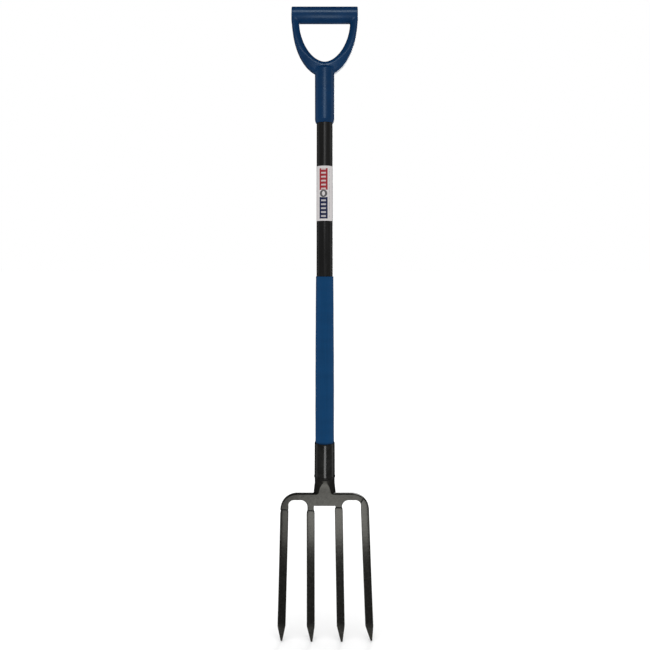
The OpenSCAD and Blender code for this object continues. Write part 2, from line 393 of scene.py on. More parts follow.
class Shader:
    """A node material with one Principled surface, and short calls for its procedural detail."""

    def __init__(self, name, colour, roughness, specular=0.5, metallic=0.0):
        self.material = bpy.data.materials.new(name)
        self.material.use_nodes = True
        self.tree = self.material.node_tree
        self.surface = self.tree.nodes["Principled BSDF"]
        self.set("Base Color", (*colour, 1))
        self.set("Roughness", roughness)
        self.set("Specular IOR Level", specular)
        self.set("Metallic", metallic)
        self.place = self.tree.nodes.new("ShaderNodeTexCoord").outputs["Object"]

    def set(self, socket, value):
        """Sets one of the surface's own sockets."""
        self.surface.inputs[socket].default_value = value

    def wire(self, value, socket):
        """Links an output to an input, or sets the input to a number."""
        if isinstance(value, (int, float)):
            socket.default_value = value
        else:
            self.tree.links.new(value, socket)

    def noise(self, scale, detail=2.0, stretch=(1, 1, 1), rough=0.5):
        """Noise between 0 and 1, with scale in cells per metre."""
        squeeze = self.tree.nodes.new("ShaderNodeMapping")
        squeeze.inputs["Scale"].default_value = stretch
        self.wire(self.place, squeeze.inputs["Vector"])
        texture = self.tree.nodes.new("ShaderNodeTexNoise")
        texture.inputs["Scale"].default_value = scale
        texture.inputs["Detail"].default_value = detail
        texture.inputs["Roughness"].default_value = rough
        self.wire(squeeze.outputs[0], texture.inputs["Vector"])
        return texture.outputs[0]

    def cells(self, scale, stretch=(1, 1, 1)):
        """Distance to the nearest of many scattered points."""
        squeeze = self.tree.nodes.new("ShaderNodeMapping")
        squeeze.inputs["Scale"].default_value = stretch
        self.wire(self.place, squeeze.inputs["Vector"])
        texture = self.tree.nodes.new("ShaderNodeTexVoronoi")
        texture.inputs["Scale"].default_value = scale
        self.wire(squeeze.outputs[0], texture.inputs["Vector"])
        return texture.outputs["Distance"]

    def axis(self, name):
        """One coordinate of the object, in metres."""
        split = self.tree.nodes.new("ShaderNodeSeparateXYZ")
        self.wire(self.place, split.inputs[0])
        return split.outputs[name]

    def span(self, value, low, high, to_low=0.0, to_high=1.0):
        """Stretches value from low..high to to_low..to_high, and stops at both ends."""
        change = self.tree.nodes.new("ShaderNodeMapRange")
        for socket, number in zip((0, 1, 2, 3, 4), (value, low, high, to_low, to_high)):
            self.wire(number, change.inputs[socket])
        return change.outputs[0]

    def math(self, operation, a, b=0.0):
        """One arithmetic step."""
        step = self.tree.nodes.new("ShaderNodeMath")
        step.operation = operation
        self.wire(a, step.inputs[0])
        self.wire(b, step.inputs[1])
        return step.outputs[0]

    def mix(self, share, a, b):
        """Colour a where share is 0 and colour b where share is 1."""
        blend = self.tree.nodes.new("ShaderNodeMix")
        blend.data_type = "RGBA"
        self.wire(share, blend.inputs[0])
        for socket, colour in ((blend.inputs[6], a), (blend.inputs[7], b)):
            if isinstance(colour, tuple):
                socket.default_value = (*colour, 1)
            else:
                self.tree.links.new(colour, socket)
        return blend.outputs[2]

    def colour(self, output):
        """Links the base colour."""
        self.wire(output, self.surface.inputs["Base Color"])

    def roughness(self, output):
        """Links the roughness."""
        self.wire(output, self.surface.inputs["Roughness"])

    def bumps(self, *layers):
        """Adds bump layers to the surface, each a height output and its depth in millimetres."""
        normal = None
        for height, depth in layers:
            bump = self.tree.nodes.new("ShaderNodeBump")
            bump.inputs["Strength"].default_value = 1.0
            bump.inputs["Distance"].default_value = depth * MM
            self.wire(height, bump.inputs["Height"])
            if normal is not None:
                self.wire(normal, bump.inputs["Normal"])
            normal = bump.outputs[0]
        self.wire(normal, self.surface.inputs["Normal"])


def shade(colour, factor):
    """A darker or lighter version of a colour."""
    return tuple(c * factor for c in colour)


def handle_plastic():
    """Glossy moulded plastic: fine moulded grain over slow sink marks."""
    blue = (0.0012, 0.0345, 0.1150)
    m = Shader("handle_plastic", blue, 0.30, 0.5)
    m.set("Specular Tint", (0.72, 0.90, 1.0, 1))
    slow, fine = m.noise(22, 2), m.noise(1100, 2)
    m.colour(m.mix(m.span(slow, 0.35, 0.65), shade(blue, 0.88), shade(blue, 1.10)))
    m.roughness(m.span(m.noise(160, 4), 0.3, 0.7, 0.27, 0.35))
    m.bumps((slow, 0.4), (m.noise(260, 2), 0.03), (fine, 0.012))
    return m.material


def sleeve_plastic():
    """Matte shrunk-on sleeve: fine grain, drawn streaks, faint rings of uneven shrinking, and a painted
    shadow just above the socket rim.
    """
    blue = (0.0034, 0.0660, 0.1950)
    m = Shader("sleeve_plastic", blue, 0.72, 0.16)
    streaks = m.noise(500, 3, (1, 1, 0.03))
    rings = m.noise(60, 2, (0.2, 0.2, 1))
    body = m.mix(m.span(m.math("ADD", streaks, rings), 0.75, 1.25), shade(blue, 0.92), shade(blue, 1.06))
    # Painted shadow: the sleeve's blue darkens towards a quarter of itself over the last 4 mm above the
    # socket rim, standing in for the rim's shade.
    rim = SOCKET_HIGH.z * MM
    painted_rim_shadow = m.span(m.axis("Z"), rim - 0.001, rim + 0.004, 0.75, 0.0)
    m.colour(m.mix(painted_rim_shadow, body, shade(blue, 0.25)))
    m.roughness(m.span(m.noise(300, 3), 0.3, 0.7, 0.64, 0.80))
    m.bumps((rings, 0.25), (streaks, 0.02), (m.noise(1500, 2), 0.015))
    return m.material


def tube_coating():
    """Black stoved coating with orange peel and a few dull rubs along the tube."""
    black = (0.0150, 0.0148, 0.0146)
    m = Shader("tube_coating", black, 0.28, 0.5)
    peel = m.noise(420, 2)
    rubs = m.noise(240, 4, (1, 1, 0.06), 0.6)
    m.colour(m.mix(m.span(rubs, 0.45, 0.75), shade(black, 0.85), shade(black, 1.5)))
    m.roughness(m.span(rubs, 0.35, 0.75, 0.24, 0.38))
    m.bumps((peel, 0.05), (m.noise(1600, 2), 0.01))
    return m.material


def socket_coating():
    """Glossy black lacquer that has run a little over the drawn steel."""
    black = (0.0150, 0.0150, 0.0144)
    m = Shader("socket_coating", black, 0.24, 0.5)
    waves = m.noise(60, 2, (1, 1, 0.3))
    m.colour(m.mix(m.span(m.noise(130, 4), 0.4, 0.7), shade(black, 0.8), shade(black, 1.5)))
    m.roughness(m.span(m.noise(300, 4), 0.35, 0.7, 0.12, 0.20))
    m.bumps((waves, 0.06), (m.noise(500, 2), 0.008))
    return m.material


def steel_coating(name, grain_along):
    """Thin dark lacquer over forged steel with scale marks, mottled gloss and grinding lines.

    With grain_along it is a tine's: smoother, its lines run down it, and its point is ground paler.
    """
    grey = (0.0125, 0.0122, 0.0111) if grain_along else (0.0105, 0.0102, 0.0092)
    m = Shader(name, grey, 0.26, 0.5)
    m.set("Specular Tint", (1.0, 0.985, 0.90, 1))
    mottle = m.noise(260, 4, rough=0.65)
    stretch = (1, 1, 0.04) if grain_along else (0.35, 1, 1)
    lines = m.noise(900, 3, stretch)
    pits = m.span(m.cells(210), 0.0, 0.16, 0.0, 1.0)
    body = m.mix(m.span(mottle, 0.38, 0.68), shade(grey, 0.7), shade(grey, 1.45))
    if grain_along:
        near_point = m.span(m.axis("Z"), 0.026, 0.038, 1.0, 0.0)
        ground = m.span(m.noise(700, 3, (0.3, 1, 1)), 0.35, 0.7)
        body = m.mix(near_point, body, m.mix(ground, shade(grey, 1.6), shade(grey, 4.2)))
    m.colour(body)
    low, high = (0.17, 0.23) if grain_along else (0.24, 0.42)
    m.roughness(m.span(m.math("ADD", mottle, m.math("MULTIPLY", lines, 0.6)), 0.55, 1.05, low, high))
    wavy = 0.10 if grain_along else 0.20
    m.bumps((m.noise(70, 2), wavy), (mottle, wavy * 0.12), (pits, 0.010), (lines, 0.012))
    return m.material


def weld_metal():
    """Weld bead under lacquer: burnt scale and dull spatter."""
    dark = (0.0110, 0.0105, 0.0100)
    m = Shader("weld_metal", dark, 0.42, 0.4)
    m.colour(m.mix(m.span(m.noise(320, 4), 0.35, 0.7), shade(dark, 0.6), shade(dark, 1.9)))
    m.roughness(m.span(m.noise(500, 3), 0.3, 0.7, 0.30, 0.60))
    m.bumps((m.noise(420, 4), 0.10), (m.noise(1400, 2), 0.02))
    return m.material


def weld_ground():
    """Weld dressed almost flush and lacquered like the forging, with a broken dark line left in it."""
    grey = (0.0085, 0.0083, 0.0073)
    m = Shader("weld_ground", grey, 0.36, 0.5)
    line = m.noise(260, 3, (1, 1, 2.5))
    m.colour(m.mix(m.span(line, 0.40, 0.62), shade(grey, 0.6), shade(grey, 1.3)))
    m.roughness(m.span(line, 0.35, 0.65, 0.62, 0.28))
    m.bumps((m.noise(180, 3), 0.12), (m.noise(900, 2), 0.01))
    return m.material


def rivet_steel():
    """Blackened rivet steel, rubbed brighter in patches."""
    dark = (0.030, 0.030, 0.030)
    m = Shader("rivet_steel", dark, 0.38, 0.5, 0.6)
    m.colour(m.mix(m.span(m.noise(600, 4), 0.45, 0.75), dark, shade(dark, 4.0)))
    m.roughness(m.span(m.noise(900, 3), 0.3, 0.7, 0.30, 0.50))
    m.bumps((m.noise(900, 3), 0.03), (m.noise(2500, 2), 0.008))
    return m.material


def label_film():
    """Printed film: a red and a navy block with pale bars, a round leaf mark between, and a fine strip."""
    white = (0.800, 0.765, 0.765)
    m = Shader("label_film", white, 0.38, 0.4)
    uv = m.tree.nodes.new("ShaderNodeUVMap")
    split = m.tree.nodes.new("ShaderNodeSeparateXYZ")
    m.wire(uv.outputs[0], split.inputs[0])
    u, v = split.outputs[0], split.outputs[1]

    def inside(value, low, high):
        """1 where a value lies between two limits."""
        return m.math("MULTIPLY", m.math("GREATER_THAN", value, low), m.math("LESS_THAN", value, high))

    def block(u0, u1, v0, v1):
        """1 inside a rectangle of the print."""
        return m.math("MULTIPLY", inside(u, u0, u1), inside(v, v0, v1))

    def disc(u_mid, v_mid, radius):
        """1 inside a circle with its radius in millimetres."""
        across = m.math("MULTIPLY", m.math("SUBTRACT", u, u_mid), LABEL_ARC_MM)
        along = m.math("MULTIPLY", m.math("SUBTRACT", v, v_mid), LABEL_HIGH_MM)
        squares = m.math("ADD", m.math("POWER", m.math("ABSOLUTE", across), 2.0),
                         m.math("POWER", m.math("ABSOLUTE", along), 2.0))
        return m.math("LESS_THAN", squares, radius * radius)

    left, right = 0.405, 0.735
    mid = (left + right) / 2
    bar_inset, bar_count, bar_share, bar_ink = 0.07, 14.0, 0.42, 0.75
    disc_r, leaf_r, leaf_shift = 6.6, 5.0, 0.055
    bars = m.math("LESS_THAN", m.math("FRACT", m.math("MULTIPLY", v, bar_count)), bar_share)
    bars = m.math("MULTIPLY", bars, inside(u, left + bar_inset, right - bar_inset))
    paper = m.mix(m.span(m.noise(500, 3), 0.3, 0.7), shade(white, 0.97), shade(white, 1.03))
    red, navy, grey = (0.42, 0.018, 0.030), (0.010, 0.020, 0.085), (0.13, 0.125, 0.13)
    print_red = m.mix(m.math("MULTIPLY", bars, bar_ink), red, white)
    print_navy = m.mix(m.math("MULTIPLY", bars, bar_ink), navy, white)
    face = m.mix(block(left, right, 0.565, 0.955), paper, print_red)
    face = m.mix(block(left, right, 0.040, 0.435), face, print_navy)
    face = m.mix(disc(mid, 0.500, disc_r), face, grey)
    leaf = m.math("MULTIPLY", disc(mid - leaf_shift, 0.500, leaf_r), disc(mid + leaf_shift, 0.500, leaf_r))
    face = m.mix(leaf, face, white)
    dashes = m.math("GREATER_THAN", m.noise(700, 1, (0.2, 0.2, 1)), 0.47)
    strip = m.math("MULTIPLY", block(0.800, 0.835, 0.06, 0.94), m.math("MULTIPLY", dashes, 0.35))
    m.colour(m.mix(strip, face, grey))
    m.roughness(m.span(m.noise(900, 2), 0.3, 0.7, 0.33, 0.44))
    m.bumps((m.noise(90, 2), 0.06), (m.noise(1800, 2), 0.006))
    return m.material


def floor_paint():
    """Pale matte floor with a very faint unevenness."""
    pale = (0.90, 0.90, 0.90)
    m = Shader("floor_pale", pale, 0.9, 0.0)
    m.colour(m.mix(m.span(m.noise(3, 4), 0.3, 0.7), shade(pale, 0.985), shade(pale, 1.015)))
    return m.material


LABEL_ARC_MM = math.radians(LABEL_ARC) * LABEL_HIGH.x
LABEL_HIGH_MM = LABEL_HIGH.z - LABEL_LOW.z
HANDLE_BLUE = handle_plastic()
SLEEVE_BLUE = sleeve_plastic()
TUBE_BLACK = tube_coating()
SOCKET_BLACK = socket_coating()
HEAD_GREY = steel_coating("head_coating", False)
TINE_GREY = steel_coating("tine_coating", True)
WELD_DARK = weld_metal()
WELD_GROUND = weld_ground()
RIVET_DARK = rivet_steel()
LABEL_PRINT = label_film()


# ---------------------------------------------------------------- handle


def round_cut(a, b, r):
    """Intersection of two fields with its edge rounded to radius r."""
    u, v = np.maximum(a + r, 0), np.maximum(b + r, 0)
    return np.minimum(np.maximum(a, b), -r) + np.hypot(u, v)


def handle_field(x, y, z):
    """The D-grip: grip bar, loop that leans back from its crest, and collar, run together."""
    up = z - GRIP_Z
    bar = round_cut(np.hypot(y, up) - GRIP_R, np.abs(x) - GRIP_HALF, GRIP_EDGE)
    outer = ellipse_2d(x, np.minimum(up + LOOP_SIDE_DROP, 0), GRIP_HALF, LOOP_HEIGHT - LOOP_SIDE_DROP)
    depth = HAND_HEIGHT - HAND_SIDE_DROP
    inner = ellipse_2d(x, np.minimum(up + HAND_SIDE_DROP, 0), HAND_HALF, depth, HAND_CURVE)
    low = np.clip((-up - NARROWING_START) / NARROWING_H, 0, 1)
    crest = CREST_TOP - CREST_NARROWING * low * low * (3 - 2 * low)
    beyond = np.maximum(inner - crest, 0)
    half = LOOP_HALF_DEPTH - LEAN * (np.sqrt(beyond ** 2 + LEAN_START ** 2) - LEAN_START)
    section = ellipse_2d(np.maximum(crest - inner, 0), y, crest, half)
    loop = np.maximum(round_cut(section, outer, LOOP_EDGE), up)
    mouth = COLLAR_R - MOUTH_TAPER * np.clip((COLLAR_Z + MOUTH_H - z) / MOUTH_H, 0, 1)
    stem = ellipse_2d(np.maximum(COLLAR_START - inner, 0), np.hypot(x, y), COLLAR_RISE, mouth)
    collar = round_cut(stem, COLLAR_Z - z, COLLAR_EDGE)
    lower = blend_union(loop, collar, LOOP_FILLET)
    return blend_union(lower, bar, LOOP_FILLET)


def make_handle():
    """The moulded D-grip."""
    low = (-GRIP_HALF - MARGIN, -COLLAR_R - SIDE_MARGIN, COLLAR_Z - MARGIN)
    high = (GRIP_HALF + MARGIN, COLLAR_R + SIDE_MARGIN, HANDLE_HIGH.z + MARGIN)
    verts, faces = surface_net(handle_field, low, high, HANDLE_STEP)
    piece = add_piece("grip_moulding", verts, faces.tolist(), "d_handle", HANDLE_BLUE)
    true_normals(piece, handle_field)
    return piece


# ---------------------------------------------------------------- head


def find_welds():
    """Middle, slope in degrees and half width of each cut between the forging and a tine."""
    cuts = []
    for name, slope, reach in WELD_CUTS:
        low, high = box_mm("weld_" + name)
        cuts.append((((low.x + high.x) / 2, (low.z + high.z) / 2), slope, reach))
    return cuts


WELDS = find_welds()


def neck_r(z):
    """Radius of the neck at height z."""
    return NECK_R + NECK_FLARE * (NECK_Z - z) / (NECK_Z - TREAD_Z)


def head_field(x, y, z):
    """The forging: neck, crossbar and stubs."""
    outline = rounded_box_2d(x, z, -BAR_HALF, BAR_HALF, TREAD_Z, SHOULDER_R, SHOULDER_R)
    gap_in, gap_out = STUB_X + STUB_W / 2, OUTER_X - TINE_W / 2
    arm_z, middle_z = TREAD_Z - ARM_H, TREAD_Z - BAR_MIDDLE
    side = rounded_box_2d(np.abs(x), z, gap_in, gap_out, arm_z, GAP_INNER_R, GAP_OUTER_R)
    middle = rounded_box_2d(x, z, STUB_W / 2 - STUB_X, STUB_X - STUB_W / 2, middle_z, MIDDLE_R, MIDDLE_R)
    outline = np.maximum(outline, -side)
    outline = np.maximum(outline, -middle)
    for (cx, cz), slope, reach in WELDS:
        a = math.radians(slope)
        above = (z - cz) * math.cos(a) - (x - cx) * math.sin(a) - WELD_H / 2 + WELD_SINK
        beside = np.abs((x - cx) * math.cos(a) + (z - cz) * math.sin(a)) - reach
        outline = np.maximum(outline, -np.maximum(above, beside))
    bar_y = -BAR_FRONT + BAR_T / 2
    plate = thick(outline, y - bar_y, BAR_T / 2, PLATE_EDGE)
    round_neck = np.hypot(x, y) - np.where(z > NECK_Z, NECK_R, neck_r(z))
    t = np.maximum(z - TONGUE_Z, 0) / (TONGUE_TOP - TONGUE_Z)
    front = -BAR_FRONT - (NECK_R - BAR_FRONT) * t ** TONGUE_CURVE
    s = np.clip((z - middle_z) / (NECK_Z - middle_z), 0, 1)
    back = BAR_T - BAR_FRONT + (NECK_R + NECK_FLARE - BAR_T + BAR_FRONT) * s * s * (3 - 2 * s)
    neck = round_cut(round_neck, front - y, TONGUE_EDGE)
    neck = blend_cut(neck, (y - back) * BACK_SOFTNESS, NECK_FILLET)
    neck = np.maximum(neck, np.maximum(middle_z - z, z - RING_Z))
    return np.maximum(blend_union(plate, neck, NECK_FILLET), front - y)


def make_head():
    """The forged neck and crossbar."""
    low = (YOKE_LOW.x - MARGIN, -NECK_R - SIDE_MARGIN, YOKE_LOW.z - MARGIN)
    high = (YOKE_HIGH.x + MARGIN + WELD_SINK, NECK_R + NECK_FLARE + SIDE_MARGIN, RING_Z + MARGIN)
    verts, faces = surface_net(head_field, low, high, HEAD_STEP)
    piece = add_piece("head_forging", verts, faces.tolist(), "head_yoke", HEAD_GREY)
    true_normals(piece, head_field)
    return piece


# ---------------------------------------------------------------- tines


def tine_front(z):
    """Front face of the curving tines at height z."""
    return -BAR_FRONT - REACH * (max(BEND_Z - z, 0) / BEND_Z) ** 2


def tine_t(z):
    """Thickness of a tine at height z, down to where its point starts."""
    return BAR_T - (BAR_T - TINE_LOW_T) * max(BEND_Z - z, 0) / (BEND_Z - POINT_L)


def rung(left, right, front, back, corner, steps=4):
    """One closed ring of a bar: a rectangle with rounded corners, between two points in X and Z."""
    across = Vector((right[0] - left[0], 0, right[1] - left[1]))
    width = across.length
    across.normalize()
    r = min(corner, width * CORNER_LIMIT, (back - front) * CORNER_LIMIT)
    near, far = width - r, r
    corners = ((near, back - r, 0), (far, back - r, 90), (far, front + r, 180), (near, front + r, 270))
    ring = []
    for cu, cy, start in corners:
        for u, y in arc((cu, cy), r, start, start + 90, steps):
            ring.append(Vector((left[0], y, left[1])) + across * u)
    return ring


def shoulder_rings():
    """The outer right shoulder, from its sloping weld round to the straight of the tine."""
    outer_c = (BAR_HALF - SHOULDER_R, TREAD_Z - SHOULDER_R)
    inner_c = (OUTER_X - TINE_W / 2 - GAP_OUTER_R, TREAD_Z - ARM_H - GAP_OUTER_R)
    outer = arc(outer_c, SHOULDER_R, SHOULDER_TURN, 0, SHOULDER_STEPS)
    inner = arc(inner_c, GAP_OUTER_R, GAP_TURN, 0, SHOULDER_STEPS)
    return [rung(i, o, -BAR_FRONT, -BAR_FRONT + BAR_T, TINE_EDGE) for o, i in zip(outer, inner)]


def tine_top_rings(x, top):
    """The chamfered top of a tine, just below its weld."""
    half = TINE_W / 2
    rings = []
    for drop, narrow in TINE_TOP:
        z = top - drop
        front = -BAR_FRONT + narrow * FRONT_THINNING
        back = -BAR_FRONT + BAR_T - narrow * BACK_THINNING
        rings.append(rung((x - half + narrow, z), (x + half - narrow, z), front, back, TINE_EDGE))
    return rings


def blade_rings(top_x, low_x, top):
    """The tine's long curve, leaning from top_x to low_x, down to where its point starts."""
    half = TINE_W / 2
    rings = []
    for i in range(BLADE_STEPS + 1):
        z = top + (POINT_L - top) * i / BLADE_STEPS
        t = (BEND_Z - z) / (BEND_Z - POINT_L)
        x = top_x + (low_x - top_x) * max(t, 0)
        front = tine_front(z)
        rings.append(rung((x - half, z), (x + half, z), front, front + tine_t(z), TINE_EDGE))
    return rings


def point_rings(low_x, tip_x, tip_z):
    """The point, narrowing in width and thickness down to its blunt tip."""
    half = TINE_W / 2
    tip_y = tine_front(0) + TINE_LOW_T / 2
    start = tine_front(POINT_L)
    rings = []
    for i in range(1, POINT_STEPS + 1):
        t = i / POINT_STEPS
        z = POINT_L + (tip_z - POINT_L) * t
        w = half + (POINT_HALF_W - half) * t ** POINT_CURVE
        x = low_x + (tip_x - low_x) * t
        front = start + (tip_y - POINT_HALF_T - start) * t
        back = start + TINE_LOW_T + (tip_y + POINT_HALF_T - start - TINE_LOW_T) * t
        rings.append(rung((x - w, z), (x + w, z), front, back, TINE_EDGE - POINT_EDGE_LOSS * t))
    return rings


def make_tine(name, shoulder):
    """One tine from its weld to its point. With a shoulder it starts at the sloping weld."""
    node = "tine_" + name
    low = box_mm(node)[0]
    top_x = OUTER_X if name.startswith("outer") else STUB_X
    if name.endswith("left"):
        top_x = -top_x
    low_x = middle_x(node, POINT_L, 1.0)
    tip_x = middle_x(node, low.z, 1.5)
    if shoulder:
        rings = shoulder_rings()
        top = BEND_Z - SHOULDER_LAP
    else:
        weld_z = box_mm("weld_" + name)[0].z + TINE_TOP_RISE
        rings = tine_top_rings(top_x, weld_z)
        top = weld_z - TINE_TOP_H
    rings += blade_rings(top_x, low_x, top)
    rings += point_rings(low_x, tip_x, low.z)
    verts, faces = skin(rings)
    return add_piece(name + "_tine_bar", verts, faces, node, TINE_GREY)


# ---------------------------------------------------------------- shaft pieces


def make_tube():
    """The coated tube, on its slight taper."""
    heights = np.linspace(TUBE_LOW.z, TUBE_HIGH.z, 60)
    verts, faces = lathe([(tube_r(z), z) for z in heights], AROUND)
    return add_piece("shaft_tube_coated", verts, faces, "shaft_tube", TUBE_BLACK)


def make_sleeve():
    """The plastic sleeve, shrunk on a little unevenly, with a soft upper edge."""
    knots = [(SOCKET_HIGH.z, SLEEVE_BOTTOM_R), *SLEEVE_KNOTS, (SLEEVE_HIGH.z, SLEEVE_TOP_R)]
    inside = tube_r(SLEEVE_HIGH.z) + 0.05
    profile = []
    for z in np.linspace(SLEEVE_LOW.z, SLEEVE_HIGH.z - 0.7, 160):
        profile.append((np.interp(z, *zip(*knots)), z))
    # The upper edge: a small round outside, and a lip that turns in to the tube
    profile += [(SLEEVE_TOP_R - 0.2, SLEEVE_HIGH.z - 0.2), (SLEEVE_TOP_R - 0.6, SLEEVE_HIGH.z)]
    profile += [(inside + 0.2, SLEEVE_HIGH.z), (inside, SLEEVE_HIGH.z - 0.4)]

    def uneven(angle, z):
        """Slow swells, some 30 mm long, away from both ends."""
        if not SOCKET_HIGH.z + 4 < z < SLEEVE_HIGH.z - 1:
            return 0
        around = Vector((math.cos(angle) * 0.6, math.sin(angle) * 0.6, z * 0.035))
        return 0.14 * noise.noise(around) - 0.04

    verts, faces = lathe(profile, AROUND, uneven)
    return add_piece("sleeve_tube", verts, faces, "shaft_sleeve", SLEEVE_BLUE)


def make_socket():
    """The socket tube, drawn in slightly at its rim, with a chamfer round its mouth."""
    low, high = SOCKET_LOW.z, SOCKET_HIGH.z
    profile = []
    for z in np.linspace(low, high - 1.0, 40):
        profile.append((SOCKET_BOTTOM_R + (SOCKET_TOP_R - SOCKET_BOTTOM_R) * (z - low) / (high - low), z))
    # The rim: a small outer round, a flat, and a chamfer down to the bore
    profile += [(SOCKET_TOP_R - 0.15, high - 0.35), (SOCKET_TOP_R - RIM_ROUND, high)]
    profile += [(SOCKET_BORE_R + RIM_ROUND, high), (SOCKET_BORE_R + 0.05, high - 1.4)]
    profile += [(SOCKET_BORE_R - 0.05, high - 3.0)]

    def dents(angle, z):
        """Shallow dents, away from the rim."""
        if z > high - 2:
            return 0
        return 0.12 * noise.noise(Vector((math.cos(angle), math.sin(angle), z * 0.06)))

    verts, faces = lathe(profile, 128, dents)
    return add_piece("socket_tube", verts, faces, "head_socket", SOCKET_BLACK)


def make_ring():
    """The ring weld: a low bead, uneven all round, that runs out into the socket and the neck."""
    half = RING_HIGH.z - RING_Z + RING_RUN_OUT
    proud = RING_HIGH.x - SOCKET_BOTTOM_R
    profile = []
    for t in np.linspace(-1.0, 1.0, 25):
        swell = (0.5 + 0.5 * math.cos(math.pi * t)) * proud
        profile.append((SOCKET_BOTTOM_R - RING_SINK + swell * 1.1, RING_Z + t * half))

    def ripple(angle, z):
        """The bead's fine ripples and slow lumps, fading out at its edges."""
        t = (z - RING_Z) / half
        wave = math.sin(angle * 34 + 1.6 * math.sin(angle * 5) + t * 1.2)
        lumps = noise.noise(Vector((math.cos(angle) * 2.2, math.sin(angle) * 2.2, z * 0.2)))
        return (1 - t * t) * (0.05 * wave + 0.30 * lumps - 0.12)

    verts, faces = lathe(profile, 240, ripple)
    return add_piece("socket_weld_ring", verts, faces, "socket_weld", WELD_DARK)


def make_label():
    """The film round the tube, as a thin closed shell, with its print laid out from 0 to 1."""
    start, turn = math.radians(-90 + LABEL_END - LABEL_ARC), math.radians(LABEL_ARC)
    rows, cols = 60, 72
    verts, faces, prints = [], [], []
    for side in (LABEL_INSIDE, LABEL_OUTSIDE):
        for i in range(rows + 1):
            for j in range(cols + 1):
                z = LABEL_LOW.z + LABEL_HIGH_MM * i / rows
                a = start + turn * j / cols
                r = tube_r(z) + side
                verts.append((r * math.cos(a), r * math.sin(a), z))
                prints.append((j / cols, i / rows))
    n, across = (rows + 1) * (cols + 1), cols + 1
    for i in range(rows):
        for j in range(cols):
            a = i * across + j
            faces.append((n + a, n + a + 1, n + a + across + 1, n + a + across))
            faces.append((a + across, a + across + 1, a + 1, a))
    edge = list(range(cols)) + [i * across + cols for i in range(rows)]
    edge += [rows * across + j for j in range(cols, 0, -1)] + [i * across for i in range(rows, 0, -1)]
    for a, b in zip(edge, edge[1:] + edge[:1]):
        faces.append((a, b, n + b, n + a))
    piece = add_piece("shaft_label_film", verts, faces, "shaft_label", LABEL_PRINT)
    layer = piece.data.uv_layers.new(name="print")
    for loop in piece.data.loops:
        layer.data[loop.index].uv = prints[loop.vertex_index]
    return piece


def make_rivet(name, node):
    """A blind rivet with a domed head and a sunk stem, pointing backwards."""
    low, high = box_mm(node)
    middle = Vector((0, 0, (low.z + high.z) / 2))
    head_r = high.x
    top, seat, rim_h = high.y, high.y - 2.6, 0.7
    profile = [(2.3, low.y), (2.4, seat), (head_r * 0.92, seat), (head_r, seat + rim_h)]
    for t in np.linspace(0.0, 1.0, 8)[1:]:
        rise = (top - seat - rim_h) * math.sin(t * math.pi / 2)
        profile.append((head_r * (1 - t * 0.62), seat + rim_h + rise))
    # The sunk end of the pulled stem
    profile += [(1.5, top - 0.1), (1.3, top - 0.8), (0.9, top - 0.9), (0.5, top - 0.6)]
    verts, faces = lathe(profile, 48)
    verts = [Vector((v[0], v[2], -v[1])) + middle for v in verts]
    return add_piece(name, verts, [tuple(reversed(f)) for f in faces], node, RIVET_DARK)


def make_bar_weld(name, slope, width, proud, finish):
    """The bead between a stub and its tine: a rippled band, proud in the middle, with sunk edges."""
    low, high = box_mm("weld_" + name)
    middle = Vector(((low.x + high.x) / 2, 0, (low.z + high.z) / 2))
    a = math.radians(slope)
    across, up = Vector((math.cos(a), 0, math.sin(a))), Vector((-math.sin(a), 0, math.cos(a)))
    rings = []
    for t in np.linspace(-1.0, 1.0, 11).tolist():
        swell = proud * (1 - t * t) - proud * 1.2 * abs(t) ** 6
        left = middle - across * (width / 2 + swell) + up * (t * WELD_H / 2)
        right = middle + across * (width / 2 + swell) + up * (t * WELD_H / 2)
        front, back = -BAR_FRONT - swell, -BAR_FRONT + BAR_T + swell
        ring = rung((left.x, left.z), (right.x, right.z), front, back, BEAD_CORNER, 9)
        rings.append([p + up * 0.22 * noise.noise(p * 0.9) * (1 - t * t) for p in ring])
    verts, faces = skin(rings)
    return add_piece("bead_" + name, verts, faces, "weld_" + name, finish)


make_handle()
make_tube()
make_label()
make_sleeve()
make_socket()
make_ring()
make_head()
make_rivet("handle_rivet_head", "handle_rivet")
make_rivet("socket_rivet_head", "socket_rivet")
make_bar_weld("outer_left", 0, TINE_W - 0.3, 0.10, WELD_GROUND)
make_bar_weld("inner_left", 0, STUB_W - 0.3, 0.20, WELD_GROUND)
make_bar_weld("inner_right", 0, STUB_W - 0.4, 0.42, WELD_DARK)
make_bar_weld("outer_right", SHOULDER_SLOPE, STUB_W, 0.22, WELD_GROUND)
for tine_name in TINE_NAMES:
    make_tine(tine_name, tine_name == "outer_right")


# ---------------------------------------------------------------- stage


CAMERA_PLACE = (0.0006, -1.139, 0.720)
CAMERA_PITCH = 5.6
LENS_MM = 33.9
SENSOR_MM = 36
# Heights on the sky, as a share of its radius, and its strength at each
SKY_HEIGHTS = (0.15, 0.75)
SKY_STRENGTHS = (0.80, 0.22)
SKY_GLOSS = 0.05

# Distances of the near panels in front of the axis, and the size of the two at the sides
FRONT_Y = -0.35
GRIP_NEAR = -0.15
SIDE_SIZE = (0.55, 2.2)

# Pieces that share a light
HANDLE = ("grip_moulding",)
SHAFT = ("shaft_tube_coated", "shaft_label_film")
SOCKET = ("socket_tube", "socket_weld_ring")
HEAD = ("head_forging", *("bead_" + name for name in TINE_NAMES))
TINES = tuple(name + "_tine_bar" for name in TINE_NAMES)
UPRIGHT = HANDLE + SHAFT + SOCKET + ("sleeve_tube",)


def make_floor():
    """The pale floor, so wide that its far edge can't be seen."""
    mesh = bpy.data.meshes.new("floor")
    half = 60.0
    corners = [(-half, -half, 0), (half, -half, 0), (half, half, 0), (-half, half, 0)]
    mesh.from_pydata(corners, [], [(0, 1, 2, 3)])
    floor = bpy.data.objects.new("floor", mesh)
    bpy.context.scene.collection.objects.link(floor)
    floor.visible_glossy = False
    floor.visible_diffuse = False
    floor.visible_shadow = False
    mesh.materials.append(floor_paint())


